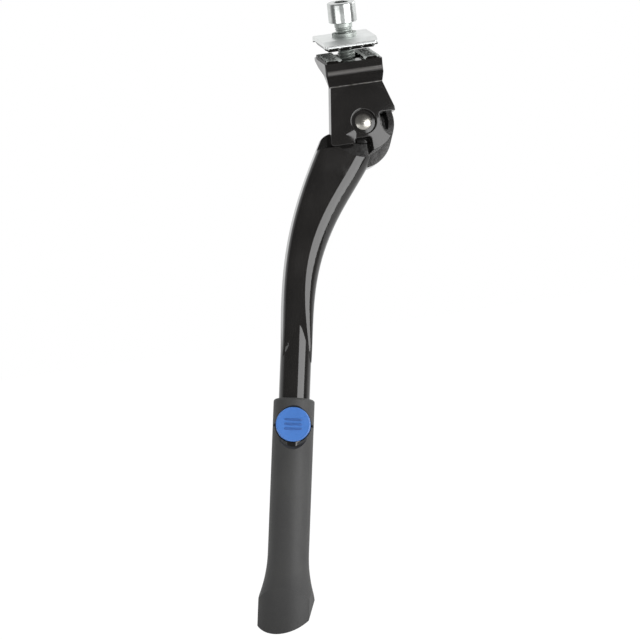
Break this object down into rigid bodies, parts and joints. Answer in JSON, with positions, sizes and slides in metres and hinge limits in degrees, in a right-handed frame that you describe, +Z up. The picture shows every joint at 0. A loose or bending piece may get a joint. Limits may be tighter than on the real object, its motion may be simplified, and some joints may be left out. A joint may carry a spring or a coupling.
{
  "type": "bicycle kickstand",
  "caption": "Side kickstand with a bolt-on chainstay clamp, a curved forged leg on a cam-notched pivot and a length-adjustable plastic foot with a push button.",
  "frame": {"origin": "on the clamp bolt's axis, at the tips of the saddle's teeth, where the chainstays rest", "axes": "+Z up along the clamp bolt, +X to the rear of the bicycle, -Y to its outboard side, where the leg stands"},
  "size_m": [0.1235, 0.1277, 0.3288],
  "materials": {
    "black_paint": "gloss black coating on forged aluminium",
    "zinc": "bright zinc plate",
    "steel": "bright steel",
    "bronze": "sintered bronze",
    "grey_plastic": "satin moulded plastic",
    "blue_plastic": "semi-gloss moulded plastic"
  },
  "bodies": {
    "bracket_body": {"bracket": "black_paint", "clamp_bolt": "zinc", "pivot_pin": "steel", "rear_washer": "zinc", "retaining_ring": "steel"},
    "clamp_body": {"clamp_plate": "zinc", "lock_washer": "zinc"},
    "leg_body": {"leg": "black_paint", "pivot_bush": "bronze", "detent_spring": "steel"},
    "plunger_body": {"detent_plunger": "steel"},
    "foot_body": {"foot_sleeve": "grey_plastic", "button_spring": "steel"},
    "button_body": {"release_button": "blue_plastic", "lock_pin": "steel"}
  },
  "joints": [
    {"name": "leg_swing", "type": "hinge", "parent": "bracket_body", "child": "leg_body", "pos_m": [0.0023, -0.019, -0.0362], "axis": [0, -0.9511, 0.309], "range_deg": [0, 90]},
    {"name": "detent_slide", "type": "slide", "parent": "leg_body", "child": "plunger_body", "axis": [0.5446, 0.2592, 0.7976], "range_m": [0, 0.0016], "stiffness_N_per_m": 500, "springref_m": 0.0016, "deforming": ["detent_spring"]},
    {"name": "foot_slide", "type": "slide", "parent": "leg_body", "child": "foot_body", "axis": [-0.2011, -0.3027, -0.9316], "range_m": [-0.02, 0.035]},
    {"name": "button_press", "type": "slide", "parent": "foot_body", "child": "button_body", "axis": [0.1448, 0.9314, -0.3339], "range_m": [-0.0013, 0.001], "stiffness_N_per_m": 600, "springref_m": -0.0013, "deforming": ["button_spring"]},
    {"name": "plate_slide", "type": "slide", "parent": "bracket_body", "child": "clamp_body", "axis": [0, 0, 1], "range_m": [-0.0044, 0.006]}
  ]
}
